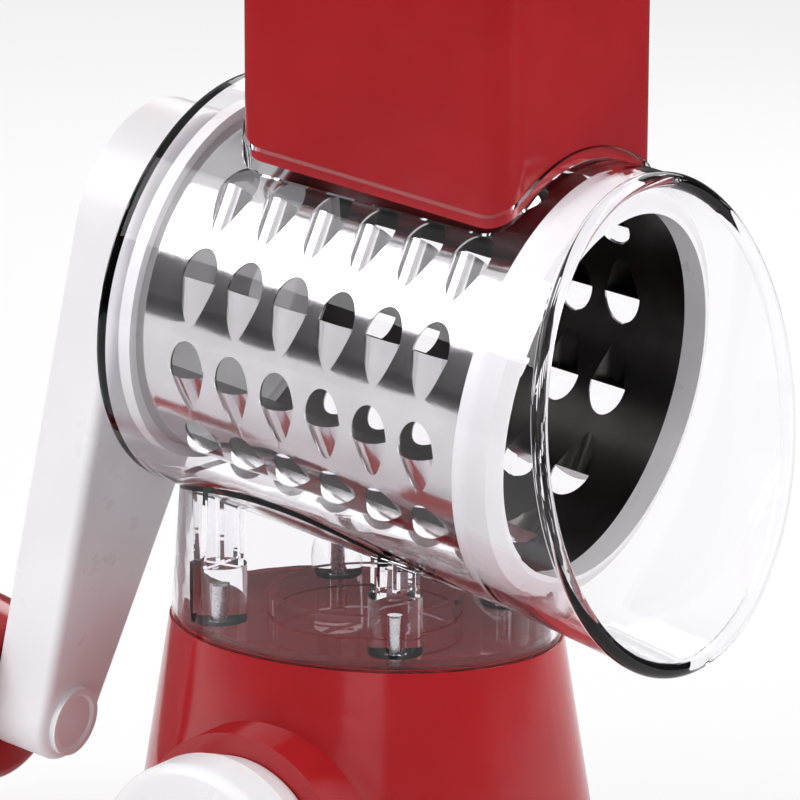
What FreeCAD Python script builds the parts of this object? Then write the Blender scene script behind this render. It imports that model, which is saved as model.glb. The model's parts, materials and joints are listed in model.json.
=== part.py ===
import FreeCAD, Part
import Sketcher
import math
import os

# Rotary drum shredder with a suction foot.
# The origin is the middle of the foot on the table, +Z is up, and the outlet faces +X.
# Lengths are in millimetres and angles in degrees.

SIZES = {
    # The drum's axis passes the middle of the mouth edge and falls towards the outlet.
    "mouth_height": 126.7,
    "mouth_forward": 55.2,
    "drum_tilt": 8.5,
    # Perforated steel drum
    "drum_bore_radius": 40.0,
    "drum_length": 89.4,
    "drum_taper": 2.4,
    "drum_sheet": 0.6,
    "hole_rows": 12,
    "hole_columns": 6,
    "hole_pitch": 11.8,
    "hole_front_margin": 15.5,
    "hole_row_offset": 14.0,
    "hole_half_width": 4.3,
    "hole_half_height": 6.8,
    "scoop_length": 7.6,
    "scoop_height": 2.4,
    # Moulded rings on the drum
    "front_ring_height": 5.1,
    "front_ring_seat": 3.0,
    "front_ring_reach": 5.5,
    "front_ring_shoulder": 3.2,
    "front_ring_step": 0.5,
    "rear_cap_rim": 2.9,
    "rear_cap_flange": 2.4,
    "rear_cap_web": 1.8,
    "hub_radius": 9.2,
    "hub_length": 11.0,
    "seat_depth": 1.4,
    "seat_clearance": 0.05,
    # Clear housing
    "housing_wall": 2.2,
    "running_gap": 0.4,
    "rest_gap": 0.1,
    "rear_gap": 0.6,
    "barrel_taper": 1.8,
    "barrel_edge_round": 2.0,
    "flare_reach": 20.4,
    "flare_drop": 1.7,
    "flare_tilt": 16.5,
    "rim_radius": 52.3,
    "lip_radius": 1.7,
    "lip_overhang": 0.5,
    "bearing_boss_radius": 11.5,
    "bearing_boss_length": 6.5,
    "collar_radius": 50.4,
    "collar_overhang": 0.7,
    # Oval pedestal under the barrel
    "deck_half_length": 45.6,
    "deck_half_width": 36.7,
    "deck_drop": 59.0,
    "pedestal_inset": 0.4,
    "pedestal_draft": 4.2,
    "screw_post_radius": 5.8,
    "screw_post_height": 12.6,
    "screw_post_spread": 22.4,
    "post_rib_width": 2.0,
    "floor_thickness": 2.3,
    "floor_clearance": 0.25,
    "floor_ring_radius": 21.5,
    "floor_ring_wall": 1.8,
    "floor_ring_height": 5.0,
    # Hopper and pusher
    "hopper_length": 67.1,
    "hopper_width": 61.4,
    "hopper_front_setback": 1.0,
    "hopper_corner": 6.6,
    "hopper_wall": 2.4,
    "hopper_top": 253.7,
    "hopper_bead": 1.3,
    "hopper_bead_height": 4.0,
    "spigot_step": 1.2,
    "spigot_depth": 3.0,
    "spigot_clearance": 0.1,
    "pusher_clearance": 0.6,
    "pusher_wall": 2.0,
    "pusher_drum_gap": 9.0,
    "pusher_cap_overhang": 2.2,
    "pusher_cap_height": 9.0,
    "pusher_cap_plug": 6.0,
    "pusher_cap_round": 3.0,
    # Base
    "base_slope": 9.2,
    "base_wall": 2.4,
    "base_ground_gap": 1.2,
    "lock_height": 28.5,
    "lock_collar_radius": 26.2,
    "lock_collar_front": 48.5,
    "pillar_radius": 4.5,
    "pillar_x": 26.0,
    "pillar_y": 12.0,
    "bracket_inner": 13.0,
    "bracket_thickness": 2.6,
    "bracket_width": 18.0,
    # Suction foot
    "cup_radius": 42.6,
    "cup_lip": 2.2,
    "cup_lip_width": 7.0,
    "cup_boss_radius": 11.0,
    "cup_boss_top": 11.0,
    "stem_radius": 4.0,
    "stem_foot_radius": 8.0,
    "stem_foot_height": 1.9,
    "stem_foot_level": 4.7,
    "plate_level": 8.0,
    "plate_thickness": 2.4,
    "plate_clearance": 0.4,
    "plate_hole_radius": 17.0,
    "plate_foot_radius": 40.0,
    "plate_foot_width": 4.0,
    # Suction lock
    "knob_radius": 24.0,
    "knob_back_radius": 21.5,
    "knob_depth": 18.1,
    "knob_flare": 7.5,
    "knob_web": 2.6,
    "knob_gap": 0.4,
    "knob_round": 3.0,
    "knob_wall": 2.6,
    "knob_hub_radius": 9.0,
    "knob_bar_width": 12.0,
    "knob_bar_height": 7.0,
    "knob_bar_inset": 1.8,
    "cam_shaft_radius": 4.0,
    "cam_pin_radius": 3.0,
    "cam_throw": 2.5,
    "cam_rest_angle": 45.0,
    "cam_cheek_radius": 7.0,
    "cam_cheek_inner": 9.0,
    "cam_cheek_thickness": 3.0,
    "yoke_width": 20.0,
    "yoke_depth": 16.8,
    "yoke_wall": 3.0,
    "slot_clearance": 0.3,
    # Crank
    "journal_radius": 5.0,
    "journal_clearance": 0.1,
    "bush_wall": 2.9,
    "bush_flange_radius": 10.5,
    "bush_flange": 1.3,
    "shaft_square": 6.9,
    "square_clearance": 0.05,
    "shaft_collar_radius": 7.0,
    "shaft_collar": 1.4,
    "shaft_square_length": 9.0,
    "shaft_end_play": 0.2,
    "crank_gap": 0.5,
    "crank_length": 105.0,
    "crank_hub_radius": 27.0,
    "crank_hub_rise": 7.5,
    "crank_end_radius": 9.8,
    "crank_thickness": 14.5,
    "crank_wall": 2.4,
    "crank_round": 2.2,
    "crank_rest_angle": -14.9,
    "crank_hub_boss_radius": 9.5,
    "crank_socket_depth": 8.0,
    "crank_socket_floor": 1.7,
    "crank_cover_inset": 1.2,
    "crank_cover_clearance": 0.12,
    # Grip
    "axle_radius": 4.0,
    "axle_head_radius": 7.8,
    "axle_head": 1.6,
    "axle_dish": 0.6,
    "axle_dish_radius": 5.8,
    "axle_boss_radius": 7.6,
    "grip_length": 50.0,
    "grip_radius": 22.0,
    "grip_neck_radius": 19.5,
    "grip_end_radius": 18.0,
    "grip_wall": 2.6,
    "grip_sleeve_radius": 7.0,
    "grip_gap": 0.5,
    "grip_cap_height": 3.0,
    "grip_cap_depth": 7.0,
    "grip_cap_plug": 3.0,
    "grip_round": 1.4,
    "grip_neck_round": 3.0,
    "grip_screw_head_radius": 6.0,
    # Screws
    "screw_radius": 1.5,
    "screw_head_radius": 3.2,
    "screw_head": 2.0,
    "screw_grip": 8.0,
    "screw_pilot_clearance": 0.05,
    "screw_hole_clearance": 0.3,
}

doc = FreeCAD.newDocument("rotary_shredder")
sheet = doc.addObject("Spreadsheet::Sheet", "sizes")
for row, (alias, number) in enumerate(SIZES.items(), start=1):
    sheet.set("A%d" % row, alias)
    sheet.set("B%d" % row, str(number))
    sheet.setAlias("B%d" % row, alias)
doc.recompute()


# Lengths that remember their formula

class Length:
    """A number together with the spreadsheet formula that it follows."""

    def __init__(self, value, formula=None):
        self.value = float(value)
        self.formula = formula or "(%r)" % self.value

    def join(self, sign, other, value):
        return Length(value, "(%s %s %s)" % (self.formula, sign, other.formula))

    def __add__(self, other):
        other = length(other)
        return self.join("+", other, self.value + other.value)

    def __sub__(self, other):
        other = length(other)
        return self.join("-", other, self.value - other.value)

    def __mul__(self, other):
        other = length(other)
        return self.join("*", other, self.value * other.value)

    def __truediv__(self, other):
        other = length(other)
        return self.join("/", other, self.value / other.value)

    def __radd__(self, other):
        return length(other) + self

    def __rsub__(self, other):
        return length(other) - self

    def __rmul__(self, other):
        return length(other) * self

    def __neg__(self):
        return length(0) - self


def length(value):
    return value if isinstance(value, Length) else Length(value)


def size(alias):
    """The size with this name in the spreadsheet."""
    return Length(sheet.get(alias), "sizes." + alias)


def function_of(angle, name, function):
    return Length(function(math.radians(angle.value)), "%s(%s)" % (name, angle.formula))


def sine(angle):
    return function_of(angle, "sin", math.sin)


def cosine(angle):
    return function_of(angle, "cos", math.cos)


def tangent(angle):
    return function_of(angle, "tan", math.tan)


def larger(one, other):
    return Length(max(one.value, other.value), "max(%s; %s)" % (one.formula, other.formula))


def smaller(one, other):
    return Length(min(one.value, other.value), "min(%s; %s)" % (one.formula, other.formula))


# Building blocks

X_AXIS = FreeCAD.Vector(1, 0, 0)
Y_AXIS = FreeCAD.Vector(0, 1, 0)
Z_AXIS = FreeCAD.Vector(0, 0, 1)
OVERCUT = 0.5


def bind(thing, name, value):
    thing.setExpression(name, length(value).formula)


def place(thing, x=0, y=0, z=0, axis=Z_AXIS, angle=0, name="Placement"):
    """Put an object at a bound point, turned by a bound angle about a fixed axis."""
    x, y, z, angle = length(x), length(y), length(z), length(angle)
    turn = FreeCAD.Rotation(axis, angle.value)
    setattr(thing, name, FreeCAD.Placement(FreeCAD.Vector(x.value, y.value, z.value), turn))
    bind(thing, name + ".Base.x", x)
    bind(thing, name + ".Base.y", y)
    bind(thing, name + ".Base.z", z)
    if angle.value:
        bind(thing, name + ".Rotation.Angle", angle)
    return thing


def on_drum_axis(thing, along=0, side=0, above=0):
    """Put an object in the drum's frame: X along the axis towards the outlet, Y sideways."""
    tilt = size("drum_tilt")
    x = size("mouth_forward") + along * cosine(tilt) + above * sine(tilt)
    z = size("mouth_height") - along * sine(tilt) + above * cosine(tilt)
    return place(thing, x, side, z, Y_AXIS, tilt)


def on_lock_axis(thing):
    """Put an object in the lock's frame: X points out of the front of the base."""
    return place(thing, 0, 0, size("lock_height"), Z_AXIS, -90)


def plane_of(body, role):
    return next(item for item in body.Origin.OriginFeatures if item.Role == role)


def new_sketch(body, role):
    sketch = body.newObject("Sketcher::SketchObject", body.Name + "_sketch")
    sketch.AttachmentSupport = [(plane_of(body, role), "")]
    sketch.MapMode = "FlatFace"
    return sketch


def fix_point(sketch, curve, end, x, y):
    """Bind one point of a sketch to a bound place; a plain zero lies on the sketch's axis."""
    for value, kind, axis in ((x, "DistanceX", -2), (y, "DistanceY", -1)):
        value = length(value)
        if value.value == 0:
            sketch.addConstraint(Sketcher.Constraint("PointOnObject", curve, end, axis))
            continue
        index = sketch.addConstraint(
            Sketcher.Constraint(kind, -1, 1, curve, end, value.value))
        bind(sketch, "Constraints[%d]" % index, value)


def polygon(body, role, corners):
    """A closed sketch of straight sides through bound corners."""
    sketch = new_sketch(body, role)
    points = [FreeCAD.Vector(length(x).value, length(y).value, 0) for x, y in corners]
    count = len(points)
    for index in range(count):
        sketch.addGeometry(Part.LineSegment(points[index], points[(index + 1) % count]), False)
    for index in range(count):
        following = (index + 1) % count
        sketch.addConstraint(Sketcher.Constraint("Coincident", index, 2, following, 1))
    for index, (x, y) in enumerate(corners):
        fix_point(sketch, index, 1, x, y)
    return sketch


def new_body(name):
    body = doc.addObject("PartDesign::Body", name)
    body.Label = name
    return body


def turned(name, corners, upright=False):
    """A solid of revolution about X, or about Z when it is upright, from its half section."""
    body = new_body(name)
    sketch = polygon(body, "XZ_Plane" if upright else "XY_Plane", corners)
    turn = body.newObject("PartDesign::Revolution", name + "_turn")
    turn.Profile = sketch
    turn.ReferenceAxis = (sketch, ["V_Axis" if upright else "H_Axis"])
    turn.Angle = 360
    return body


def rounded(body, radius, wanted):
    """Round the edges of a body for which the test says yes."""
    doc.recompute()
    base = body.Tip
    names = ["Edge%d" % (index + 1) for index, edge in enumerate(base.Shape.Edges) if wanted(edge)]
    fillet = body.newObject("PartDesign::Fillet", body.Name + "_round")
    fillet.Base = (base, names)
    bind(fillet, "Radius", radius)
    body.Tip = fillet
    return body


def ring_edge(along, radius, upright=False):
    """A test for the round edge of a turned piece at a place along its axis and a radius."""
    along, radius = length(along).value, length(radius).value

    def wanted(edge):
        if not isinstance(edge.Curve, Part.Circle):
            return False
        centre = edge.Curve.Center
        place_along = centre.z if upright else centre.x
        return abs(place_along - along) < 0.01 and abs(edge.Curve.Radius - radius) < 0.01
    return wanted


def upright_edge(edge):
    ends = [vertex.Point for vertex in edge.Vertexes]
    return len(ends) == 2 and abs(ends[0].x - ends[1].x) + abs(ends[0].y - ends[1].y) < 0.001


def block(name, x_size, y_size, bottom, top, corner, x_middle=0):
    """An upright block with rounded corners."""
    body = new_body(name)
    x_size, y_size, x_middle = length(x_size), length(y_size), length(x_middle)
    left, right = x_middle - x_size / 2, x_middle + x_size / 2
    back, front = y_size / 2, -y_size / 2
    sketch = polygon(body, "XY_Plane", [(left, front), (right, front), (right, back), (left, back)])
    place(sketch, 0, 0, bottom, name="AttachmentOffset")
    pad = body.newObject("PartDesign::Pad", name + "_pad")
    pad.Profile = sketch
    bind(pad, "Length", length(top) - bottom)
    return rounded(body, corner, upright_edge)


def peg(name, radius, height, x=0, y=0, z=0, axis=Z_AXIS, angle=0):
    cylinder = doc.addObject("Part::Cylinder", name)
    bind(cylinder, "Radius", radius)
    bind(cylinder, "Height", height)
    return place(cylinder, x, y, z, axis, angle)


def brick(name, x_size, y_size, z_size, x=0, y=0, z=0):
    """A plain block, centred on x and y, standing on z."""
    box = doc.addObject("Part::Box", name)
    x_size, y_size = length(x_size), length(y_size)
    bind(box, "Length", x_size)
    bind(box, "Width", y_size)
    bind(box, "Height", z_size)
    return place(box, x - x_size / 2, y - y_size / 2, z)


def oval(name, bottom, bottom_half, top, top_half):
    """A solid between two level ovals, each given by its half length and half width."""
    rings = []
    for tag, level, (half_length, half_width) in (
            ("low", bottom, bottom_half), ("high", top, top_half)):
        ring = doc.addObject("Part::Ellipse", name + "_" + tag)
        bind(ring, "MajorRadius", larger(half_length, half_width))
        bind(ring, "MinorRadius", smaller(half_length, half_width))
        crosswise = half_length.value < half_width.value
        place(ring, 0, 0, level, Z_AXIS, 90 if crosswise else 0)
        rings.append(ring)
    loft = doc.addObject("Part::Loft", name)
    loft.Sections = rings
    loft.Solid = True
    loft.Ruled = True
    return loft


def boolean(kind, name, base, tool):
    result = doc.addObject("Part::" + kind, name)
    result.Base = base
    result.Tool = tool
    result.Refine = True
    result.Label = name
    return result


def cut(name, base, tool):
    return boolean("Cut", name, base, tool)


def common(name, base, tool):
    return boolean("Common", name, base, tool)


def fuse(name, pieces):
    result = doc.addObject("Part::MultiFuse", name)
    result.Shapes = pieces
    result.Refine = True
    result.Label = name
    return result


def together(name, pieces):
    """Several separate solids in one node."""
    result = doc.addObject("Part::Compound", name)
    result.Links = pieces
    result.Label = name
    return result


nodes = []


def finish(piece):
    """Add a finished sub-part to the assembly; its name is its file's name."""
    nodes.append(piece)
    return piece


def corners_of(spread_x, spread_y):
    """The four places of a screw pattern about the middle."""
    return [(sign_x * spread_x, sign_y * spread_y) for sign_x in (-1, 1) for sign_y in (-1, 1)]


def screw(name, x, y, head_bottom, shank):
    """A pan head screw that points up, with its head below."""
    head = peg(name + "_head", size("screw_head_radius"), size("screw_head"), x, y, head_bottom)
    above = length(head_bottom) + size("screw_head") - OVERCUT
    body = peg(name + "_shank", size("screw_radius"), length(shank) + OVERCUT, x, y, above)
    return fuse(name, [head, body])


# Sizes that several pieces share

screw_hole = size("screw_radius") + size("screw_hole_clearance")
screw_pilot = size("screw_radius") + size("screw_pilot_clearance")
seat_gap = size("seat_clearance")
wall = size("housing_wall")

drum_outer = size("drum_bore_radius") + size("drum_sheet")
drum_rear_inner = size("drum_bore_radius") - size("drum_taper")
drum_rear_outer = drum_rear_inner + size("drum_sheet")
drum_rear = -size("drum_length")
cap_front = drum_rear + size("seat_depth")
cap_rear = cap_front - size("rear_cap_rim")
ring_outer = drum_outer + size("front_ring_height")

wall_inside = cap_rear - size("rear_gap")
wall_outside = wall_inside - wall
boss_end = wall_outside - size("bearing_boss_length")
barrel_inner = ring_outer + size("running_gap")
barrel_rear_inner = barrel_inner - size("barrel_taper")
barrel_outer = barrel_inner + wall
barrel_rear_outer = barrel_rear_inner + wall

journal_bore = size("journal_radius") + size("journal_clearance")
bush_outer = journal_bore + size("bush_wall")
collar_rear = wall_inside + size("shaft_end_play")
collar_front = collar_rear + size("shaft_collar")
crank_face = boss_end - size("bush_flange") - size("crank_gap")
crank_back = crank_face - size("crank_thickness")
cover_inside = crank_back + size("crank_wall")
square_hole = size("shaft_square") + 2 * size("square_clearance")

deck = size("mouth_height") - size("deck_drop")
deck_half = (size("deck_half_length"), size("deck_half_width"))


def grown(half, amount):
    """Both half sizes of an oval, larger by the same amount."""
    return half[0] + amount, half[1] + amount


def base_half(level, inset=0):
    """The half sizes of the sloping base at a height."""
    return grown(deck_half, (deck - level) * tangent(size("base_slope")) - inset)


def pedestal_half(level, inset=0):
    """The half sizes of the clear pedestal at a height."""
    drop = size("pedestal_inset") + (length(level) - deck) * tangent(size("pedestal_draft"))
    return grown(deck_half, -(drop + inset))


def drum_point(along, above):
    """A point of the drum's middle plane in the part's own frame."""
    tilt = size("drum_tilt")
    x = size("mouth_forward") + along * cosine(tilt) + above * sine(tilt)
    z = size("mouth_height") - along * sine(tilt) + above * cosine(tilt)
    return x, z


# Suction foot

def suction_cup():
    """Rubber disc, flat on the table, with a thin lip and a boss around the stem's foot."""
    radius, lip = size("cup_radius"), size("cup_lip")
    boss, stem = size("cup_boss_radius"), size("stem_radius") + seat_gap
    foot = size("stem_foot_radius") + seat_gap
    level, top = size("stem_foot_level"), size("cup_boss_top")
    foot_top = level + size("stem_foot_height") + seat_gap
    shoulder = level + size("stem_foot_height") / 2
    return finish(turned("suction_cup", [
        (0, 0), (radius, 0), (radius, lip / 2), (radius - lip / 2, lip),
        (radius - size("cup_lip_width"), lip), (boss + lip, shoulder), (boss, shoulder + lip),
        (boss, top), (stem, top), (stem, foot_top), (foot, foot_top), (foot, level), (0, level),
    ], upright=True))


def cam_level():
    """The height of the eccentric pin at rest."""
    return size("lock_height") - size("cam_throw") * sine(size("cam_rest_angle"))


def cup_stem():
    """Stem whose foot is moulded into the cup and whose yoke the eccentric pin lifts."""
    radius, foot = size("stem_radius"), size("stem_foot_radius")
    level = size("stem_foot_level")
    slot = size("cam_pin_radius") + size("slot_clearance")
    yoke_bottom = cam_level() - slot - size("yoke_wall")
    yoke_top = cam_level() + slot + size("yoke_wall")
    post = turned("stem_post", [
        (0, level), (foot, level), (foot, level + size("stem_foot_height")),
        (radius, level + size("stem_foot_height")), (radius, yoke_bottom + OVERCUT),
        (0, yoke_bottom + OVERCUT)], upright=True)
    yoke = brick("yoke_block", size("yoke_width"), size("yoke_depth"), yoke_top - yoke_bottom,
                 z=yoke_bottom)
    slot_length = 2 * (size("cam_throw") + slot)
    slit = brick("yoke_slot", slot_length, size("yoke_depth") + 2 * OVERCUT, 2 * slot,
                 z=cam_level() - slot)
    return finish(cut("cup_stem", fuse("stem_solid", [post, yoke]), slit))


def base_plate():
    """Oval plate that holds the cup's lip down, screwed to the base's pillars."""
    level, thick = size("plate_level"), size("plate_thickness")
    half = base_half(level + thick, size("base_wall") + size("plate_clearance"))
    plate = oval("plate_disc", level, half, level + thick, half)
    outer, width = size("plate_foot_radius"), size("plate_foot_width")
    foot = turned("plate_foot", [
        (outer - width, size("cup_lip")), (outer, size("cup_lip")),
        (outer, level + OVERCUT), (outer - width, level + OVERCUT)], upright=True)
    deep = thick + 2 * OVERCUT
    holes = [peg("plate_hole", size("plate_hole_radius"), deep, z=level - OVERCUT)]
    for x, y in corners_of(size("pillar_x"), size("pillar_y")):
        holes.append(peg("plate_screw_hole", screw_hole, deep, x, y, level - OVERCUT))
    return finish(cut("base_plate", fuse("plate_solid", [plate, foot]), fuse("plate_holes", holes)))


def base_plate_screws():
    """Four screws that hold the plate to the pillars."""
    head = size("plate_level") - size("screw_head")
    reach = size("plate_thickness") + size("screw_grip")
    places = corners_of(size("pillar_x"), size("pillar_y"))
    return finish(together("base_plate_screws", [
        screw("plate_screw", x, y, head, reach) for x, y in places]))


# Base

def lock_tube(name, radius, inner_end, outer_end):
    """A round solid on the lock's axis between two distances from the middle."""
    start, end = length(inner_end), length(outer_end)
    return peg(name, radius, end - start, 0, -start, size("lock_height"), X_AXIS, 90)


def base_shell():
    """Sloping oval shell with the lock's collar, pillars, shaft brackets and screw holes."""
    ground, thick = size("base_ground_gap"), size("base_wall")
    collar, front = size("lock_collar_radius"), size("lock_collar_front")
    shaft = size("cam_shaft_radius") + size("journal_clearance")
    outside = fuse("base_outside", [
        oval("base_body", ground, base_half(ground), deck, deck_half),
        lock_tube("lock_collar", collar, size("bracket_inner"), front)])
    under, ceiling = ground - OVERCUT, deck - thick
    inside = fuse("base_inside", [
        oval("base_hollow", under, base_half(under, thick), ceiling, base_half(ceiling, thick)),
        lock_tube("lock_hollow", collar - thick, size("bracket_inner"), front - thick)])
    pieces = [cut("base_walls", outside, inside)]
    plate_top = size("plate_level") + size("plate_thickness")
    for x, y in corners_of(size("pillar_x"), size("pillar_y")):
        pieces.append(peg("pillar", size("pillar_radius"), ceiling - plate_top + OVERCUT,
                          x, y, plate_top))
    bracket_bottom = size("lock_height") - size("bracket_width") / 2
    for side in (-1, 1):
        middle = side * (size("bracket_inner") + size("bracket_thickness") / 2)
        pieces.append(brick("bracket", size("bracket_width"), size("bracket_thickness"),
                            ceiling - bracket_bottom + OVERCUT, 0, middle, bracket_bottom))
    reach = size("bracket_inner") + size("bracket_thickness") + OVERCUT
    holes = [lock_tube("shaft_hole", shaft, -reach, front + OVERCUT)]
    for x, y in corners_of(size("pillar_x"), size("pillar_y")):
        holes.append(peg("pillar_pilot", screw_pilot, size("screw_grip") + 2 * OVERCUT,
                         x, y, plate_top - OVERCUT))
    for x, y in corners_of(size("screw_post_spread"), size("screw_post_spread")):
        holes.append(peg("deck_hole", screw_hole, thick + 2 * OVERCUT, x, y, ceiling - OVERCUT))
    return finish(cut("base_shell", fuse("base_solid", pieces), fuse("base_holes", holes)))


def housing_screws():
    """Four screws that rise through the deck and the clear floor into the housing's posts."""
    head = deck - size("base_wall") - size("screw_head")
    reach = size("base_wall") + size("floor_thickness") + size("screw_grip")
    places = corners_of(size("screw_post_spread"), size("screw_post_spread"))
    return finish(together("housing_screws", [
        screw("housing_screw", x, y, head, reach) for x, y in places]))


# Suction lock

def knob_seat():
    """The place along the lock's axis where the knob's screw bears on the knob."""
    return (size("lock_collar_front") + size("knob_gap") + size("knob_depth")
            - size("knob_wall"))


def lock_camshaft():
    """Shaft with an eccentric pin between two cheeks; the pin lies low while unlocked."""
    inner, thick = size("cam_cheek_inner"), size("cam_cheek_thickness")
    cheek, shaft = size("cam_cheek_radius"), size("cam_shaft_radius")
    rear_end = size("bracket_inner") + size("bracket_thickness") + OVERCUT
    front_end = knob_seat() - size("knob_web")
    pilot = front_end - size("screw_grip") - OVERCUT
    front = turned("cam_front", [
        (inner, 0), (inner, cheek), (inner + thick, cheek), (inner + thick, shaft),
        (front_end, shaft), (front_end, screw_pilot), (pilot, screw_pilot), (pilot, 0)])
    rear = turned("cam_rear", [
        (-rear_end, 0), (-rear_end, shaft), (-(inner + thick), shaft), (-(inner + thick), cheek),
        (-inner, cheek), (-inner, 0)])
    throw, angle = size("cam_throw"), size("cam_rest_angle")
    pin = peg("cam_pin", size("cam_pin_radius"), 2 * (inner + OVERCUT), -(inner + OVERCUT),
              -throw * cosine(angle), -throw * sine(angle), Y_AXIS, 90)
    return finish(on_lock_axis(fuse("lock_camshaft", [front, rear, pin])))


def lock_knob():
    """Round knob, hollow behind, with a straight finger bar across its face."""
    start = size("lock_collar_front") + size("knob_gap")
    radius, depth, thick = size("knob_radius"), size("knob_depth"), size("knob_wall")
    face = start + depth
    hub, bore = size("knob_hub_radius"), size("cam_shaft_radius") + seat_gap
    bore_end = knob_seat() - size("knob_web") + seat_gap
    back, flare_end = size("knob_back_radius"), start + size("knob_flare")
    disc = turned("knob_disc", [
        (start, bore), (start, hub), (face - thick, hub), (face - thick, radius - thick),
        (flare_end, radius - thick), (start, back - thick), (start, back), (flare_end, radius),
        (face, radius), (face, 0), (bore_end, 0), (bore_end, bore)])
    rounded(disc, size("knob_round"), ring_edge(face, radius))
    bar_top = face + size("knob_bar_height")
    bar_root = face - thick / 2
    bar = brick("bar_block", size("knob_bar_width"), 2 * radius, bar_top - bar_root)
    place(bar, bar_root, -radius, size("knob_bar_width") / 2, Y_AXIS, 90)
    limit = radius - size("knob_bar_inset")
    round_limit = turned("bar_limit", [
        (bar_root, 0), (bar_root, limit), (bar_top, limit), (bar_top, 0)])
    rounded(round_limit, size("knob_round"), ring_edge(bar_top, limit))
    head = size("screw_head_radius") + size("screw_hole_clearance")
    seat = knob_seat()
    hole = turned("knob_screw_hole", [
        (bore_end - OVERCUT, 0), (bore_end - OVERCUT, screw_hole), (seat, screw_hole),
        (seat, head), (bar_top + OVERCUT, head), (bar_top + OVERCUT, 0)])
    solid = fuse("knob_solid", [disc, common("knob_bar", round_limit, bar)])
    return finish(on_lock_axis(cut("lock_knob", solid, hole)))


def lock_knob_screw():
    """Screw that holds the knob on its shaft, sunk in the finger bar."""
    seat = knob_seat()
    tip = seat - size("screw_grip")
    head = size("screw_head_radius")
    return finish(on_lock_axis(turned("lock_knob_screw", [
        (tip, 0), (tip, size("screw_radius")), (seat, size("screw_radius")), (seat, head),
        (seat + size("screw_head"), head), (seat + size("screw_head"), 0)])))


# Clear housing

def pedestal_floor():
    """Clear oval plate on the base's deck, with a low ring wall in its middle."""
    top = deck + size("floor_thickness")
    half = pedestal_half(top, wall + size("floor_clearance"))
    plate = oval("floor_plate", deck, half, top, half)
    radius = size("floor_ring_radius")
    inner = radius - size("floor_ring_wall")
    rim = top + size("floor_ring_height")
    ring = turned("floor_ring", [
        (inner, top - OVERCUT), (radius, top - OVERCUT), (radius, rim), (inner, rim)],
        upright=True)
    places = corners_of(size("screw_post_spread"), size("screw_post_spread"))
    holes = [peg("floor_hole", screw_hole, size("floor_thickness") + 2 * OVERCUT,
                 x, y, deck - OVERCUT) for x, y in places]
    return finish(cut("pedestal_floor", fuse("floor_solid", [plate, ring]),
                      fuse("floor_holes", holes)))


def hopper_middle():
    """The place of the hopper's middle along X."""
    return size("mouth_forward") - size("hopper_front_setback") - size("hopper_length") / 2


def hopper_block(name, inset, bottom, top):
    """A block with the hopper's outline, smaller all round by an inset."""
    inset = length(inset)
    return block(name, size("hopper_length") - 2 * inset, size("hopper_width") - 2 * inset,
                 bottom, top, size("hopper_corner") - inset, hopper_middle())


def flare(name, inset):
    """The cone between the barrel's front circle and the slanting rim circle."""
    rim_x, rim_z = drum_point(size("flare_reach"), -size("flare_drop"))
    upright = size("drum_tilt") + 90
    rings = []
    for tag, radius, x, z, angle in (
            ("start", barrel_outer, size("mouth_forward"), size("mouth_height"), upright),
            ("rim", size("rim_radius") - size("lip_overhang"), rim_x, rim_z,
             upright - size("flare_tilt"))):
        ring = doc.addObject("Part::Circle", name + "_" + tag)
        bind(ring, "Radius", radius - inset)
        rings.append(place(ring, x, 0, z, Y_AXIS, angle))
    loft = doc.addObject("Part::Loft", name)
    loft.Sections = rings
    loft.Solid = True
    loft.Ruled = True
    return loft


def rim_lip():
    """The round bead on the slanting rim."""
    rim_x, rim_z = drum_point(size("flare_reach"), -size("flare_drop"))
    bead = doc.addObject("Part::Torus", "rim_lip")
    bind(bead, "Radius1", size("rim_radius") - size("lip_radius"))
    bind(bead, "Radius2", size("lip_radius"))
    return place(bead, rim_x, 0, rim_z, Y_AXIS, size("drum_tilt") + 90 - size("flare_tilt"))


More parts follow.
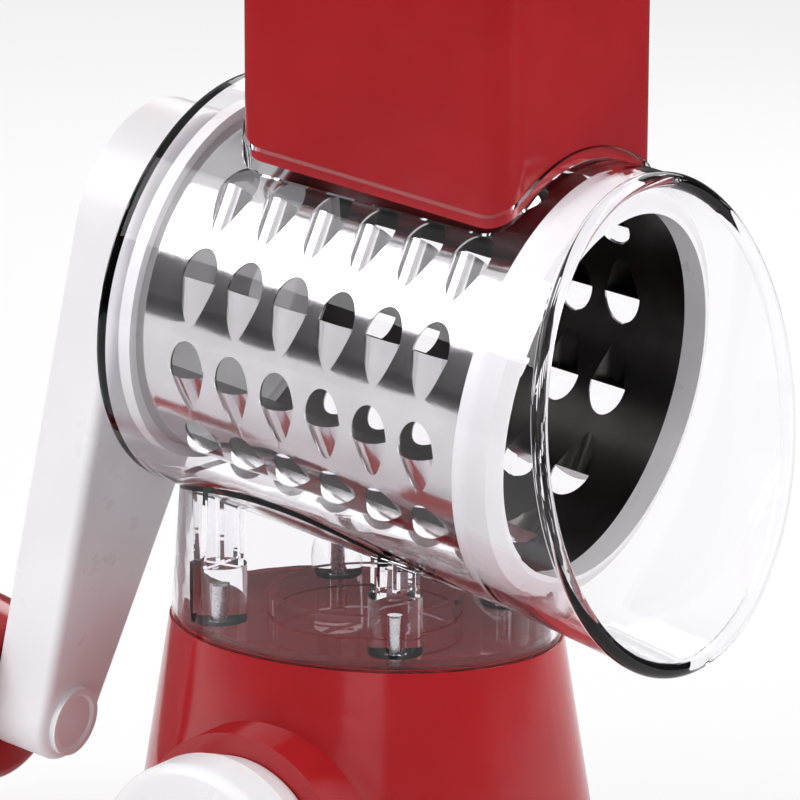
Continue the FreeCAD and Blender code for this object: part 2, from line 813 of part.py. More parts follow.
def drum_housing():
    """Clear barrel with a flared outlet, a socket for the hopper and an oval pedestal."""
    boss = size("bearing_boss_radius")
    barrel = turned("barrel_solid", [
        (boss_end, 0), (boss_end, boss), (wall_outside, boss), (wall_outside, barrel_rear_outer),
        (0, barrel_outer), (0, 0)])
    rounded(barrel, size("barrel_edge_round"), ring_edge(wall_outside, barrel_rear_outer))
    on_drum_axis(barrel)
    hollow = on_drum_axis(turned("barrel_hollow", [
        (boss_end - OVERCUT, 0), (boss_end - OVERCUT, bush_outer + seat_gap),
        (wall_inside, bush_outer + seat_gap), (wall_inside, barrel_rear_inner),
        (0, barrel_inner), (0, 0)]))

    low = size("mouth_height") + size("drum_bore_radius") / 2
    collar_block = hopper_block("collar_block", -size("collar_overhang"), low, size("hopper_top"))
    collar_limit = on_drum_axis(turned("collar_limit", [
        (wall_inside, 0), (wall_inside, size("collar_radius")), (0, size("collar_radius")),
        (0, 0)]))
    socket_inset = size("spigot_step") - size("spigot_clearance")
    socket = hopper_block("hopper_socket", socket_inset, low, size("hopper_top"))

    top = size("mouth_height") - barrel_inner / 3
    pedestal = cut("pedestal_walls",
                   oval("pedestal_body", deck, pedestal_half(deck), top, pedestal_half(top)),
                   oval("pedestal_hollow", deck, pedestal_half(deck, wall),
                        top, pedestal_half(top, wall)))
    ahead = on_drum_axis(turned("ahead_of_rear_wall", [
        (wall_outside, 0), (wall_outside, 3 * barrel_outer), (2 * barrel_outer, 3 * barrel_outer),
        (2 * barrel_outer, 0)]))
    pieces = [barrel, flare("flare_solid", 0), common("hopper_collar", collar_block, collar_limit),
              common("pedestal_trimmed", pedestal, ahead)]

    pilots = []
    post_bottom = deck + size("floor_thickness")
    post_top = post_bottom + size("screw_post_height")
    rib_top = size("mouth_height") - barrel_inner / 2
    for x, y in corners_of(size("screw_post_spread"), size("screw_post_spread")):
        pieces.append(peg("screw_post", size("screw_post_radius"), size("screw_post_height"),
                          x, y, post_bottom))
        width = 2 * size("screw_post_radius") - OVERCUT
        for rib_x, rib_y in ((size("post_rib_width"), width), (width, size("post_rib_width"))):
            pieces.append(brick("post_rib", rib_x, rib_y, rib_top - post_top + OVERCUT,
                                x, y, post_top - OVERCUT))
        pilots.append(peg("post_pilot", screw_pilot, size("screw_grip") + 2 * OVERCUT,
                          x, y, post_bottom - OVERCUT))
    hollows = fuse("housing_hollows", [hollow, flare("flare_hollow", wall), socket] + pilots)
    open_housing = cut("housing_open", fuse("housing_solid", pieces), hollows)
    return finish(fuse("drum_housing", [open_housing, rim_lip()]))


# Hopper and pusher

def hopper():
    """Upright red chute whose spigot stands in the housing's socket."""
    low = size("mouth_height") + size("drum_bore_radius") / 2
    top = size("hopper_top")
    seat = size("collar_radius") + seat_gap
    below = size("collar_radius") - size("spigot_depth")
    skin = cut("hopper_skin", hopper_block("hopper_outside", 0, low, top),
               on_drum_axis(turned("collar_space", [
                   (wall_outside, 0), (wall_outside, seat), (size("front_ring_reach"), seat),
                   (size("front_ring_reach"), 0)])))
    spigot = cut("hopper_spigot", hopper_block("spigot_block", size("spigot_step"), low, top),
                 on_drum_axis(turned("spigot_space", [
                     (wall_outside, 0), (wall_outside, below), (size("front_ring_reach"), below),
                     (size("front_ring_reach"), 0)])))
    bead = hopper_block("hopper_bead", -size("hopper_bead"), top - size("hopper_bead_height"), top)
    chute = hopper_block("hopper_chute", size("hopper_wall"), low - OVERCUT, top + OVERCUT)
    return finish(cut("hopper", fuse("hopper_solid", [skin, spigot, bead]), chute))


def space_below(name, level):
    """A wide block between the drum's axis and a level above it, in the drum's frame."""
    space = doc.addObject("Part::Box", name)
    reach = 2 * size("drum_length")
    bind(space, "Length", reach)
    bind(space, "Width", reach)
    bind(space, "Height", level)
    return on_drum_axis(space, -size("drum_length") * 1.5, -reach / 2, 0)


def pusher_level():
    """The height of the pusher's sole above the drum's axis."""
    return drum_outer + size("scoop_height") + size("pusher_drum_gap")


def pusher_body():
    """Hollow plunger whose slanting sole stops above the drum."""
    inset = size("hopper_wall") + size("pusher_clearance")
    low, top = size("mouth_height") + size("drum_bore_radius") / 2, size("hopper_top")
    outside = cut("plunger_solid", hopper_block("plunger_block", inset, low, top),
                  space_below("sole_space", pusher_level()))
    inside = cut("plunger_inside",
                 hopper_block("plunger_hollow", inset + size("pusher_wall"), low, top + OVERCUT),
                 space_below("sole_floor", pusher_level() + size("pusher_wall")))
    return finish(cut("pusher_body", outside, inside))


def pusher_cap():
    """Cap that plugs into the plunger and rests on the hopper's rim."""
    top = size("hopper_top")
    rest = top + size("rest_gap")
    inset = size("hopper_wall") + size("pusher_clearance") + size("pusher_wall") + seat_gap
    plug = hopper_block("cap_plug", inset, top - size("pusher_cap_plug"), rest + OVERCUT)
    overhang = size("pusher_cap_overhang")
    lid = hopper_block("cap_lid", -overhang, rest, rest + size("pusher_cap_height"))
    lid_top = (rest + size("pusher_cap_height")).value

    def top_edge(edge):
        return all(abs(vertex.Point.z - lid_top) < 0.001 for vertex in edge.Vertexes)
    rounded(lid, size("pusher_cap_round"), top_edge)
    return finish(fuse("pusher_cap", [plug, lid]))


# Drum

def scoop_shape(radius, slope, start, end, lift):
    """A sloping round bar under one scoop, between two places across the drum's surface."""
    direction = FreeCAD.Vector(0, math.cos(slope), math.sin(slope))
    base = FreeCAD.Vector(0, 0, lift) + direction * start
    return Part.makeCylinder(radius, end - start, base, direction)


def grating_drum():
    """Steel drum with rows of raised scoops, each with its cutting edge and opening."""
    bore, taper = size("drum_bore_radius").value, size("drum_taper").value
    sheet_thickness, whole = size("drum_sheet").value, size("drum_length").value
    height, run = size("scoop_height").value, size("scoop_length").value
    half_width, half_height = size("hole_half_width").value, size("hole_half_height").value
    rows, columns = int(size("hole_rows").value), int(size("hole_columns").value)
    margin, pitch = size("hole_front_margin").value, size("hole_pitch").value
    offset = size("hole_row_offset").value

    outer_bar = (half_width ** 2 + height ** 2) / (2 * height)
    inner_bar = outer_bar - sheet_thickness
    curve_drop = run ** 2 / (2 * bore)
    slope = math.atan((height + curve_drop) / run)
    lift = height - outer_bar
    lean = math.atan(taper / whole)

    window_arch = Part.Ellipse(FreeCAD.Vector(0, half_height, 0),
                               FreeCAD.Vector(-half_width, 0, 0), FreeCAD.Vector(0, 0, 0))
    window = Part.Wire([
        Part.LineSegment(FreeCAD.Vector(-half_width, 0, 0),
                         FreeCAD.Vector(half_width, 0, 0)).toShape(),
        Part.ArcOfEllipse(window_arch, -math.pi / 2, math.pi / 2).toShape(),
    ])
    reach = height + sheet_thickness + curve_drop
    opening = Part.Face(window).extrude(FreeCAD.Vector(0, 0, 2 * reach + sheet_thickness))
    opening.translate(FreeCAD.Vector(0, 0, -reach - sheet_thickness))
    bar = scoop_shape(outer_bar, slope, -run / math.cos(slope) - outer_bar, outer_bar, lift)
    side = 4 * outer_bar
    keep = Part.makeBox(side, side, side, FreeCAD.Vector(-side / 2, -side, -side / 2))
    scoop = bar.common(keep)
    passage = scoop_shape(inner_bar, slope, -run / math.cos(slope) - outer_bar,
                          sheet_thickness, lift)

    scoops, passages = [], []
    for column in range(columns):
        along = -margin - pitch * column
        surface = bore + sheet_thickness + along * taper / whole
        for row in range(rows):
            turn = FreeCAD.Placement(
                FreeCAD.Vector(0, 0, 0), FreeCAD.Rotation(X_AXIS, offset + row * 360.0 / rows))
            seat = FreeCAD.Placement(
                FreeCAD.Vector(along, 0, surface), FreeCAD.Rotation(Y_AXIS, -math.degrees(lean)))
            for shape, group in ((scoop, scoops), (passage, passages), (opening, passages)):
                copy = shape.copy()
                copy.Placement = turn.multiply(seat).multiply(copy.Placement)
                group.append(copy)

    def drum_cone(extra, start, end):
        """The drum's cone, thicker by an amount, between two places along the axis."""
        rear = bore + extra + start * taper / whole
        front = bore + extra + end * taper / whole
        return Part.makeCone(rear, front, end - start, FreeCAD.Vector(start, 0, 0), X_AXIS)

    outside = drum_cone(sheet_thickness, -whole, 0).multiFuse(scoops)
    inside = drum_cone(0, -whole - OVERCUT, OVERCUT)
    drum = doc.addObject("Part::Feature", "grating_drum")
    drum.Label = "grating_drum"
    drum.Shape = outside.cut([inside] + passages)
    return finish(on_drum_axis(drum))


def drum_front_ring():
    """Moulded ring on the drum's mouth, which runs in the barrel."""
    seat, reach = -size("front_ring_seat"), size("front_ring_reach")
    pocket = drum_outer + seat_gap
    lip = size("drum_bore_radius") - size("front_ring_step")
    shoulder = size("front_ring_shoulder")
    ring = turned("drum_front_ring", [
        (seat, pocket), (seat, ring_outer), (0, ring_outer),
        (reach - shoulder / 2, drum_outer + shoulder), (reach, drum_outer), (reach, lip),
        (0, size("drum_bore_radius")), (seat_gap, pocket)])
    rounded(ring, shoulder, ring_edge(0, ring_outer))
    return finish(on_drum_axis(ring))


def drum_rear_cap():
    """Moulded cap on the drum's rear edge, with the hub that the shaft drives."""
    outside, inside = drum_rear_outer + seat_gap, drum_rear_inner - seat_gap
    flange = drum_rear_outer + size("rear_cap_flange")
    groove = drum_rear - seat_gap
    web = cap_rear + size("rear_cap_web")
    rim = inside - size("rear_cap_web")
    hub, hub_front = size("hub_radius"), cap_rear + size("hub_length")
    recess = size("shaft_collar_radius") + size("running_gap")
    recess_floor = collar_front + size("shaft_end_play")
    cap = turned("cap_solid", [
        (cap_rear, recess), (cap_rear, flange), (cap_front, flange), (cap_front, outside),
        (groove, outside), (groove, inside), (cap_front, inside), (cap_front, rim), (web, rim),
        (web, hub), (hub_front, hub), (hub_front, 0), (recess_floor, 0), (recess_floor, recess)])
    socket = doc.addObject("Part::Box", "hub_socket")
    depth = collar_front + size("shaft_square_length") + size("shaft_end_play") - cap_rear
    bind(socket, "Length", depth)
    bind(socket, "Width", square_hole)
    bind(socket, "Height", square_hole)
    place(socket, cap_rear, -square_hole / 2, -square_hole / 2)
    return finish(on_drum_axis(cut("drum_rear_cap", cap, socket)))


def square_bar(name, start, end, across):
    """A square bar along the local X axis."""
    start, end, across = length(start), length(end), length(across)
    bar = doc.addObject("Part::Box", name)
    bind(bar, "Length", end - start)
    bind(bar, "Width", across)
    bind(bar, "Height", across)
    return place(bar, start, -across / 2, -across / 2)


def drive_shaft():
    """Steel shaft: a square for the drum, a collar, a round journal and a square for the crank."""
    journal, collar = size("journal_radius"), size("shaft_collar_radius")
    journal_end = crank_face + size("shaft_end_play")
    middle = turned("shaft_journal", [
        (journal_end, 0), (journal_end, journal), (collar_rear, journal), (collar_rear, collar),
        (collar_front, collar), (collar_front, 0)])
    front = square_bar("shaft_front", collar_front - OVERCUT,
                       collar_front + size("shaft_square_length"), size("shaft_square"))
    rear_end = crank_face - size("crank_socket_depth") + size("shaft_end_play")
    rear = square_bar("shaft_rear", rear_end, journal_end + OVERCUT, size("shaft_square"))
    pilot = peg("shaft_pilot", screw_pilot, size("screw_grip") + OVERCUT,
                rear_end - OVERCUT, 0, 0, Y_AXIS, 90)
    return finish(on_drum_axis(cut("drive_shaft", fuse("shaft_solid", [middle, front, rear]),
                                   pilot)))


def shaft_bush():
    """Flanged bearing bush pressed into the housing's rear boss."""
    flange, end = size("bush_flange_radius"), boss_end - size("bush_flange")
    return finish(on_drum_axis(turned("shaft_bush", [
        (end, journal_bore), (end, flange), (boss_end, flange), (boss_end, bush_outer),
        (wall_inside, bush_outer), (wall_inside, journal_bore)])))


# Crank

def teardrop(body, inset, level):
    """A closed sketch round the hub and the far end of the crank, smaller by an inset."""
    hub = size("crank_hub_radius") - inset
    end = size("crank_end_radius") - inset
    reach, rise = size("crank_length"), size("crank_hub_rise")
    sketch = new_sketch(body, "YZ_Plane")
    place(sketch, 0, 0, level, Z_AXIS, size("crank_rest_angle") - 90, name="AttachmentOffset")
    lean = math.acos((hub.value - end.value) / (reach + rise).value)
    near, far = FreeCAD.Vector(-rise.value, 0, 0), FreeCAD.Vector(reach.value, 0, 0)
    big = Part.Circle(near, Z_AXIS, hub.value)
    small = Part.Circle(far, Z_AXIS, end.value)
    tangents = [(math.cos(angle), math.sin(angle)) for angle in (lean, -lean)]
    (over, under) = [
        (FreeCAD.Vector(hub.value * x - rise.value, hub.value * y, 0),
         FreeCAD.Vector(reach.value + end.value * x, end.value * y, 0)) for x, y in tangents]
    sketch.addGeometry(Part.ArcOfCircle(big, lean, 2 * math.pi - lean), False)
    sketch.addGeometry(Part.LineSegment(under[0], under[1]), False)
    sketch.addGeometry(Part.ArcOfCircle(small, -lean, lean), False)
    sketch.addGeometry(Part.LineSegment(over[1], over[0]), False)
    for index in range(4):
        following = (index + 1) % 4
        sketch.addConstraint(Sketcher.Constraint("Tangent", index, 2, following, 1))
    sketch.addConstraint(Sketcher.Constraint("PointOnObject", 0, 3, -1))
    sketch.addConstraint(Sketcher.Constraint("PointOnObject", 2, 3, -1))
    for kind, items, value in (
            ("DistanceX", (0, 3, -1, 1), rise), ("DistanceX", (-1, 1, 2, 3), reach),
            ("Radius", (0,), hub), ("Radius", (2,), end)):
        index = sketch.addConstraint(Sketcher.Constraint(kind, *items, value.value))
        bind(sketch, "Constraints[%d]" % index, value)
    return sketch


def teardrop_plate(name, inset, face, depth):
    """A plate with the crank's outline that reaches back from a face."""
    body = new_body(name)
    pad = body.newObject("PartDesign::Pad", name + "_pad")
    pad.Profile = teardrop(body, inset, face)
    pad.Reversed = True
    bind(pad, "Length", depth)
    return body


def crank_end():
    """The place of the grip's axis beside and above the drum's axis."""
    angle, reach = size("crank_rest_angle"), size("crank_length")
    return reach * sine(angle), -reach * cosine(angle)


def crank_arm():
    """Hollow crank with a closed face towards the barrel and bosses for shaft and axle."""
    thick = size("crank_wall")
    outside = teardrop_plate("arm_block", 0, crank_face, size("crank_thickness"))
    face = crank_face.value

    def face_edge(edge):
        return all(abs(vertex.Point.x - face) < 0.001 for vertex in edge.Vertexes)
    rounded(outside, size("crank_round"), face_edge)
    hollow = teardrop_plate("arm_hollow", thick, crank_face - thick, size("crank_thickness"))
    rebate = teardrop_plate("arm_rebate", size("crank_cover_inset"), cover_inside,
                            thick + OVERCUT)
    side, above = crank_end()
    hub_end = crank_face - size("crank_socket_depth") - size("crank_socket_floor")
    hub = peg("arm_hub", size("crank_hub_boss_radius"), crank_face - hub_end - OVERCUT,
              hub_end, 0, 0, Y_AXIS, 90)
    boss = peg("arm_end_boss", size("axle_boss_radius"), crank_face - cover_inside - OVERCUT,
               cover_inside, side, above, Y_AXIS, 90)
    walls = fuse("arm_solid", [cut("arm_walls", outside, fuse("arm_space", [hollow, rebate])),
                               hub, boss])
    holes = fuse("arm_holes", [
        square_bar("arm_socket", crank_face - size("crank_socket_depth"), crank_face + OVERCUT,
                   square_hole),
        peg("arm_screw_hole", screw_hole, size("crank_thickness"), crank_back, 0, 0, Y_AXIS, 90),
        peg("arm_axle_hole", size("axle_radius") + seat_gap, size("crank_thickness") + OVERCUT,
            crank_back, side, above, Y_AXIS, 90)])
    return finish(on_drum_axis(cut("crank_arm", walls, holes)))


def crank_cover():
    """Flush cover of the crank's hollow side."""
    inset = size("crank_cover_inset") + size("crank_cover_clearance")
    plate = teardrop_plate("cover_plate", inset, cover_inside, size("crank_wall"))
    side, above = crank_end()
    hole = peg("cover_hole", size("axle_radius") + seat_gap, size("crank_wall") + 2 * OVERCUT,
               crank_back - OVERCUT, side, above, Y_AXIS, 90)
    return finish(on_drum_axis(cut("crank_cover", plate, hole)))


def crank_hub_screw():
    """Screw that holds the crank on the shaft, under the cover."""
    seat = crank_face - size("crank_socket_depth") - size("crank_socket_floor")
    head, shank = size("screw_head_radius"), size("screw_radius")
    tip = seat + size("screw_grip")
    return finish(on_drum_axis(turned("crank_hub_screw", [
        (seat - size("screw_head"), 0), (seat - size("screw_head"), head), (seat, head),
        (seat, shank), (tip, shank), (tip, 0)])))


def on_grip_axis(thing):
    side, above = crank_end()
    return on_drum_axis(thing, 0, side, above)


grip_start = crank_back - size("grip_gap")
grip_end = grip_start - size("grip_length")
sleeve_end = grip_end + size("grip_cap_depth")
axle_end = sleeve_end - size("shaft_end_play")


def grip_axle():
    """Pin through the crank's end, with a dished head on the barrel's side."""
    radius, head = size("axle_radius"), size("axle_head_radius")
    front, dish = crank_face + size("axle_head"), size("axle_dish")
    floor = size("axle_dish_radius")
    pilot = axle_end + size("screw_grip")
    return finish(on_grip_axis(turned("grip_axle", [
        (axle_end, screw_pilot), (axle_end, radius), (crank_face, radius), (crank_face, head),
        (front, head), (front, floor + dish), (front - dish, floor), (front - dish, 0),
        (pilot, 0), (pilot, screw_pilot)])))


def crank_grip():
    """Round handle that spins on the axle."""
    bore = size("axle_radius") + size("journal_clearance")
    thick, sleeve = size("grip_wall"), size("grip_sleeve_radius")
    neck, belly, tail = size("grip_neck_radius"), size("grip_radius"), size("grip_end_radius")
    middle = (grip_start + grip_end) / 2
    floor = grip_start - thick
    grip = turned("crank_grip", [
        (grip_start, bore), (grip_start, neck), (middle, belly), (grip_end, tail),
        (grip_end, tail - thick), (middle, belly - thick), (floor, neck - thick),
        (floor, sleeve), (sleeve_end, sleeve), (sleeve_end, bore)])
    rounded(grip, size("grip_length") * 2, ring_edge(middle, belly))
    rounded(grip, size("grip_neck_round"), ring_edge(grip_start, neck))
    return finish(on_grip_axis(grip))


def grip_screw():
    """Wide-headed screw in the axle's end, which keeps the grip on."""
    head, shank = size("grip_screw_head_radius"), size("screw_radius")
    top, tip = axle_end - size("screw_head"), axle_end + size("screw_grip") - OVERCUT
    return finish(on_grip_axis(turned("grip_screw", [
        (top, 0), (top, head), (axle_end, head), (axle_end, shank), (tip, shank), (tip, 0)])))


def grip_end_cap():
    """Snap-in cap that closes the grip's open end."""
    tail, thick = size("grip_end_radius"), size("grip_wall")
    plug = tail - thick - seat_gap
    bottom, depth = grip_end - size("grip_cap_height"), size("grip_cap_plug")
    cap = turned("grip_end_cap", [
        (bottom, 0), (bottom, tail), (grip_end, tail), (grip_end, plug), (grip_end + depth, plug),
        (grip_end + depth, plug - thick), (grip_end, plug - thick), (grip_end, 0)])
    rounded(cap, size("grip_round"), ring_edge(bottom, tail))
    return finish(on_grip_axis(cap))


suction_cup()
cup_stem()
base_plate()
base_plate_screws()
base_shell()
housing_screws()
lock_camshaft()
lock_knob()
lock_knob_screw()
pedestal_floor()
drum_housing()
hopper()
pusher_body()
pusher_cap()
grating_drum()
drum_front_ring()
drum_rear_cap()
drive_shaft()
shaft_bush()
crank_arm()
crank_cover()
crank_hub_screw()
grip_axle()
crank_grip()
grip_screw()
grip_end_cap()

doc.recompute()

failed = [item.Label for item in doc.Objects
          if "Invalid" in item.State or "Error" in item.State]
unsound = [item.Label for item in nodes if item.Shape.isNull() or not item.Shape.isValid()]
if failed or unsound:
    raise SystemExit("failed objects %s, unsound shapes %s" % (failed, unsound))

os.makedirs("parts", exist_ok=True)
for piece in nodes:
    piece.Shape.exportStep("parts/%s.step" % piece.Label)
    print("%-20s %2d solid(s) %10.1f mm3" % (
        piece.Label, len(piece.Shape.Solids), piece.Shape.Volume))
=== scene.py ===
import json
import math

import bpy
from mathutils import Matrix, Vector

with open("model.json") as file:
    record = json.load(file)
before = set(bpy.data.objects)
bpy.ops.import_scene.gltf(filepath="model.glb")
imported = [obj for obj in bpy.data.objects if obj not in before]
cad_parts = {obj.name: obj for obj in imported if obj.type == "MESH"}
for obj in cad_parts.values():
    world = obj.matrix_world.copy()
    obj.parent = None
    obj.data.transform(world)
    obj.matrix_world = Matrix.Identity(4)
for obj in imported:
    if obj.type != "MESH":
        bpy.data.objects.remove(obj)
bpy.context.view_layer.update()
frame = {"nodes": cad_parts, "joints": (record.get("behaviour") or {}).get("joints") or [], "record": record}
nodes = frame["nodes"]

# Camera: where it stands, in metres, and which way it looks, in degrees
EYE = Vector((0.4992, -0.755, 0.3362))
TURN = 33.0
RISE = 13.6
ROLL = 0.15
FOCAL_PIXELS = 4316.0
PICTURE_PIXELS = 800
SENSOR_MM = 36.0

# Lamps: place and target in metres, width and height in metres, power in watts
LAMPS = {
    "key": ((-0.55, -0.75, 0.95), (0.0, 0, 0.13), 0.8, 0.8, 9.0),
    "side": ((0.95, 0.1, 0.55), (0.03, 0, 0.13), 0.5, 0.9, 5.0),
    "back": ((-0.2, 0.95, 0.7), (0.0, 0, 0.15), 0.9, 0.5, 4.0),
}

# What glossy surfaces reflect: brightness by the height of the reflected direction
SKY_STOPS = [(0.0, 0.10), (0.40, 0.14), (0.52, 0.92), (0.64, 0.92), (0.73, 0.30), (1.0, 0.36)]

# Two upright light strips in reflections: their directions and half width in radians, then
# the middle and half height in heights of the reflected direction
STRIP_TURNS = (2.91, -1.33)
STRIP_HALF_WIDTH = 0.17
STRIP_MIDDLE = 0.15
STRIP_HALF_HEIGHT = 0.3

# Floor, in metres: its half side, and where it darkens in reflections
FLOOR_REACH = 40.0
FLOOR_DARK_FROM = 0.74
FLOOR_DARK_TO = 0.84
FLOOR_GLOW = 0.72


# Materials

class Tree:
    """A node tree that is written a line at a time."""

    def __init__(self, owner):
        owner.use_nodes = True
        self.nodes = owner.node_tree.nodes
        self.links = owner.node_tree.links
        self.nodes.clear()

    def fill(self, socket, value):
        """Links a socket to another one, or sets it to a constant."""
        if isinstance(value, bpy.types.NodeSocket):
            self.links.new(value, socket)
        else:
            socket.default_value = value

    def add(self, kind, values=(), **settings):
        """A new node; values pairs an input's name or number with a socket or a constant."""
        node = self.nodes.new(kind)
        for name, setting in settings.items():
            setattr(node, name, setting)
        for name, value in dict(values).items():
            self.fill(node.inputs[name], value)
        return node

    def output(self, shader, kind="ShaderNodeOutputMaterial"):
        self.add(kind, {"Surface": shader})


def maths(tree, operation, *values):
    return tree.add("ShaderNodeMath", dict(enumerate(values)), operation=operation).outputs[0]


def noise(tree, scale, detail=3.0, stretch=(1, 1, 1), roughness=0.55):
    """Noise in the part's own space; scale is per metre."""
    place = tree.add("ShaderNodeTexCoord").outputs["Object"]
    spread = tree.add("ShaderNodeMapping", {"Vector": place, "Scale": stretch})
    return tree.add("ShaderNodeTexNoise", {
        "Vector": spread.outputs["Vector"], "Scale": scale, "Detail": detail,
        "Roughness": roughness}).outputs["Fac"]


def ranged(tree, value, low, high, start=0.3, end=0.7):
    """A value from start to end, stretched to run from low to high."""
    return tree.add("ShaderNodeMapRange", {
        "Value": value, "From Min": start, "From Max": end,
        "To Min": low, "To Max": high}).outputs["Result"]


def blended(tree, factor, first, second):
    """A colour between two, each a socket or a constant."""
    mix = tree.add("ShaderNodeMix", data_type="RGBA")
    tree.fill(mix.inputs["Factor"], factor)
    ends = [socket for socket in mix.inputs if socket.type == "RGBA"]
    tree.fill(ends[0], first)
    tree.fill(ends[1], second)
    return next(socket for socket in mix.outputs if socket.type == "RGBA")


def tones(tree, value, dark, light):
    """A colour between two, by noise."""
    return blended(tree, ranged(tree, value, 0.0, 1.0), (*dark, 1), (*light, 1))


def bump(tree, height, strength, distance):
    return tree.add("ShaderNodeBump", {
        "Height": height, "Strength": strength, "Distance": distance}).outputs["Normal"]


def plastic(name, dark, light, gloss, rough, grain):
    """Moulded plastic: faint colour flow, uneven gloss and a very fine surface grain."""
    material = bpy.data.materials.new(name)
    tree = Tree(material)
    flow = noise(tree, 34.0, 2.0)
    fine = noise(tree, 2600.0, 2.0)
    smear = noise(tree, 120.0, 4.0)
    shader = tree.add("ShaderNodeBsdfPrincipled", {
        "Base Color": tones(tree, flow, dark, light),
        "Roughness": ranged(tree, smear, gloss, rough),
        "Normal": bump(tree, fine, grain, 0.0001), "IOR": 1.5})
    tree.output(shader.outputs["BSDF"])
    return material


def turned_steel(name):
    """Steel with fine marks all over."""
    material = bpy.data.materials.new(name)
    tree = Tree(material)
    marks = noise(tree, 1500.0, 4.0, roughness=0.65)
    cloud = noise(tree, 60.0)
    shader = tree.add("ShaderNodeBsdfPrincipled", {
        "Base Color": tones(tree, cloud, (0.55, 0.55, 0.56), (0.66, 0.66, 0.67)), "Metallic": 1.0,
        "Roughness": ranged(tree, marks, 0.2, 0.34),
        "Normal": bump(tree, marks, 0.25, 0.0001)})
    tree.output(shader.outputs["BSDF"])
    return material


def facing_out(tree, joint):
    """Above zero where a surface faces away from a joint's axis, and below zero inside."""
    own = tree.add("ShaderNodeTexCoord").outputs

    def vectors(operation, one, other, output="Vector"):
        return tree.add("ShaderNodeVectorMath", {0: one, 1: other},
                        operation=operation).outputs[output]

    offset = vectors("SUBTRACT", own["Object"], joint["pos_m"])
    outward = vectors("SUBTRACT", offset, vectors("PROJECT", offset, joint["axis"]))
    direction = tree.add("ShaderNodeVectorMath", {0: outward}, operation="NORMALIZE")
    return vectors("DOT_PRODUCT", direction.outputs["Vector"], own["Normal"], "Value")


def drum_steel(name, joint):
    """Polished sheet, rougher on the side that faces the drum's axis, where painted shade darkens its colour
    to stand in for the shade inside the drum.
    """
    material = bpy.data.materials.new(name)
    tree = Tree(material)
    marks = noise(tree, 420.0, 4.0, (6, 1, 1), 0.65)
    cloud = noise(tree, 60.0)
    outer = ranged(tree, facing_out(tree, joint), 0.0, 1.0, -0.3, 0.1)
    # Painted shade: the side facing the axis is coloured near black, standing in for the shade inside the
    # drum
    inner_painted_shade = tones(tree, cloud, (0.055, 0.050, 0.048), (0.095, 0.088, 0.085))
    polish = tones(tree, cloud, (0.60, 0.59, 0.595), (0.67, 0.66, 0.665))
    shader = tree.add("ShaderNodeBsdfPrincipled", {
        "Base Color": blended(tree, outer, inner_painted_shade, polish), "Metallic": 1.0,
        "Roughness": ranged(tree, outer, 0.3, ranged(tree, marks, 0.08, 0.13), 0.0, 1.0),
        "Normal": bump(tree, marks, 0.05, 0.0001)})
    tree.output(shader.outputs["BSDF"])
    return material


def clear_plastic(name, tint, gloss, rough):
    """Polished clear plastic, which lets the lamps through to what is behind it."""
    material = bpy.data.materials.new(name)
    tree = Tree(material)
    haze = noise(tree, 90.0, 4.0)
    ripple = noise(tree, 55.0, 2.0)
    glass = tree.add("ShaderNodeBsdfPrincipled", {
        "Base Color": (*tint, 1), "Transmission Weight": 1.0, "IOR": 1.3,
        "Roughness": ranged(tree, haze, gloss, rough),
        "Normal": bump(tree, ripple, 0.05, 0.0006)})
    open_shade = tree.add("ShaderNodeBsdfTransparent", {"Color": (*tint, 1)})
    ray = tree.add("ShaderNodeLightPath")
    mix = tree.add("ShaderNodeMixShader", {
        0: ray.outputs["Is Shadow Ray"], 1: glass.outputs["BSDF"],
        2: open_shade.outputs["BSDF"]})
    tree.output(mix.outputs["Shader"])
    return material


def shade(piece, material):
    piece.data.materials.clear()
    piece.data.materials.append(material)


drum_spin = next(joint for joint in frame["joints"] if joint["name"] == "drum_spin")

FINISHES = {
    "red_plastic": plastic("red_gloss", (0.31, 0.009, 0.012), (0.36, 0.012, 0.016),
                           0.12, 0.18, 0.04),
    "white_plastic": plastic("white_gloss", (0.77, 0.76, 0.78), (0.82, 0.815, 0.83),
                             0.26, 0.36, 0.08),
    "white_inner": plastic("white_inner", (0.66, 0.66, 0.65), (0.74, 0.74, 0.73),
                           0.5, 0.62, 0.3),
    "clear_plastic": clear_plastic("clear_polished", (0.975, 0.97, 0.985), 0.0, 0.025),
    "polished_steel": drum_steel("steel_polished", drum_spin),
    "turned_steel": turned_steel("steel_turned"),
    "grey_rubber": plastic("rubber_grey", (0.055, 0.055, 0.06), (0.08, 0.08, 0.085),
                           0.55, 0.7, 0.5),
}

slots = {part["node"]: part["material_slot"] for part in frame["record"]["subparts"]}
for name, piece in nodes.items():
    shade(piece, FINISHES[slots[name]])


# Floor, light and camera

def reflected(tree, ray):
    """One for what is seen in a glossy surface, directly or through clear plastic."""
    mirrored = maths(tree, "GREATER_THAN", ray["Glossy Depth"], 0.5)
    return maths(tree, "MULTIPLY", mirrored, ray["Is Glossy Ray"])


def plainly_seen(tree, ray):
    """One for what the camera sees, directly or through clear plastic alone."""
    bounces = maths(tree, "ADD", ray["Glossy Depth"], ray["Diffuse Depth"])
    direct = maths(tree, "LESS_THAN", bounces, 0.5)
    through = maths(tree, "MULTIPLY", direct, ray["Is Transmission Ray"])
    return maths(tree, "MAXIMUM", ray["Is Camera Ray"], through)


def strip(tree, way, middle_turn):
    """One in an upright strip of directions, and zero elsewhere."""
    turn = maths(tree, "ARCTAN2", way["X"], way["Y"])
    across = maths(tree, "COMPARE", turn, middle_turn, STRIP_HALF_WIDTH)
    low = maths(tree, "COMPARE", way["Z"], STRIP_MIDDLE, STRIP_HALF_HEIGHT)
    return maths(tree, "MULTIPLY", across, low)


def background(tree, colour, strength):
    return tree.add("ShaderNodeBackground", {"Color": colour, "Strength": strength}).outputs[0]


def mixed(tree, share, first, second):
    return tree.add("ShaderNodeMixShader", {0: share, 1: first, 2: second}).outputs[0]


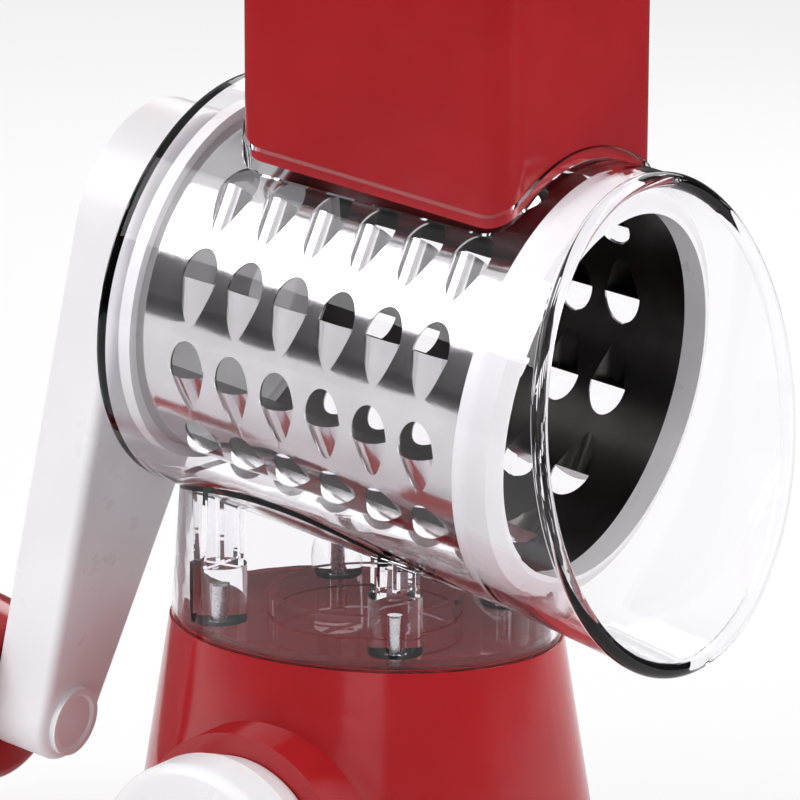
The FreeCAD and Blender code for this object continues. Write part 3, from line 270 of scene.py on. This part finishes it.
def world_light():
    """White behind the part; in reflections a soft box over a dark horizon, and two strips."""
    world = bpy.data.worlds.new("studio")
    bpy.context.scene.world = world
    tree = Tree(world)
    ray = tree.add("ShaderNodeLightPath").outputs
    way = tree.add("ShaderNodeSeparateXYZ", {
        "Vector": tree.add("ShaderNodeTexCoord").outputs["Generated"]}).outputs
    ramp = tree.add("ShaderNodeValToRGB", {"Fac": way["Z"]})
    points = ramp.color_ramp.elements
    for index, (place, level) in enumerate(SKY_STOPS):
        point = points[0] if index == 0 else points.new(place)
        point.position = place
        point.color = (level, level * 0.985, level, 1)
    points.remove(points[-1])
    strips = maths(tree, "MAXIMUM", *[strip(tree, way, turn) for turn in STRIP_TURNS])
    plain = background(tree, (1, 1, 1, 1), 1.0)
    soft = background(tree, (1, 0.99, 1, 1), 0.62)
    bank = background(tree, ramp.outputs["Color"], 1.0)
    bright = background(tree, (1, 0.99, 1, 1), 1.5)
    hidden = mixed(tree, reflected(tree, ray), soft, mixed(tree, strips, bank, bright))
    both = mixed(tree, plainly_seen(tree, ray), hidden, plain)
    tree.output(both, "ShaderNodeOutputWorld")


def floor():
    """A pale floor that keeps the part's shadow and darkens far away in reflections."""
    mesh = bpy.data.meshes.new("floor")
    reach = FLOOR_REACH
    mesh.from_pydata([(-reach, -reach, 0), (reach, -reach, 0), (reach, reach, 0),
                      (-reach, reach, 0)], [], [(0, 1, 2, 3)])
    piece = bpy.data.objects.new("floor", mesh)
    bpy.context.scene.collection.objects.link(piece)
    material = bpy.data.materials.new("floor")
    tree = Tree(material)
    ray = tree.add("ShaderNodeLightPath").outputs
    away = tree.add("ShaderNodeVectorMath", {0: tree.add("ShaderNodeTexCoord").outputs["Object"]},
                    operation="LENGTH").outputs["Value"]
    grain = noise(tree, 9.0, 2.0)
    near_tone = tree.add("ShaderNodeBsdfDiffuse", {
        "Color": tones(tree, grain, (0.815, 0.805, 0.815), (0.825, 0.815, 0.825))}).outputs[0]
    far_tone = tree.add("ShaderNodeBsdfDiffuse", {"Color": (0.11, 0.107, 0.11, 1)}).outputs[0]
    distant = ranged(tree, away, 0.0, 1.0, FLOOR_DARK_FROM, FLOOR_DARK_TO)
    far = maths(tree, "MULTIPLY", distant, reflected(tree, ray))
    glow = tree.add("ShaderNodeEmission", {"Color": (1, 1, 1, 1), "Strength": 1.0}).outputs[0]
    seen = maths(tree, "MULTIPLY", plainly_seen(tree, ray), FLOOR_GLOW)
    tree.output(mixed(tree, seen, mixed(tree, far, near_tone, far_tone), glow))
    shade(piece, material)


def lamp(name, place, target, width, height, power):
    light = bpy.data.lights.new(name, "AREA")
    light.shape = "RECTANGLE"
    light.size = width
    light.size_y = height
    light.energy = power
    piece = bpy.data.objects.new(name, light)
    bpy.context.scene.collection.objects.link(piece)
    piece.location = place
    piece.rotation_euler = (Vector(target) - Vector(place)).to_track_quat("-Z", "Y").to_euler()


def camera():
    """Looks down at the part from the photograph's side."""
    turn, rise = math.radians(TURN), math.radians(RISE)
    away = Vector((math.sin(turn) * math.cos(rise), -math.cos(turn) * math.cos(rise),
                   math.sin(rise)))
    lens = bpy.data.cameras.new("camera")
    lens.sensor_width = SENSOR_MM
    lens.lens = FOCAL_PIXELS / PICTURE_PIXELS * SENSOR_MM
    lens.clip_start = 0.05
    lens.clip_end = 200.0
    piece = bpy.data.objects.new("camera", lens)
    bpy.context.scene.collection.objects.link(piece)
    turned = away.to_track_quat("Z", "Y").to_matrix()
    turned = turned @ Matrix.Rotation(math.radians(ROLL), 3, "Z")
    piece.matrix_world = Matrix.Translation(EYE) @ turned.to_4x4()
    bpy.context.scene.camera = piece


bpy.context.scene.view_settings.view_transform = "Standard"
world_light()
floor()
for name, (place, target, width, height, power) in LAMPS.items():
    lamp(name, place, target, width, height, power)
camera()
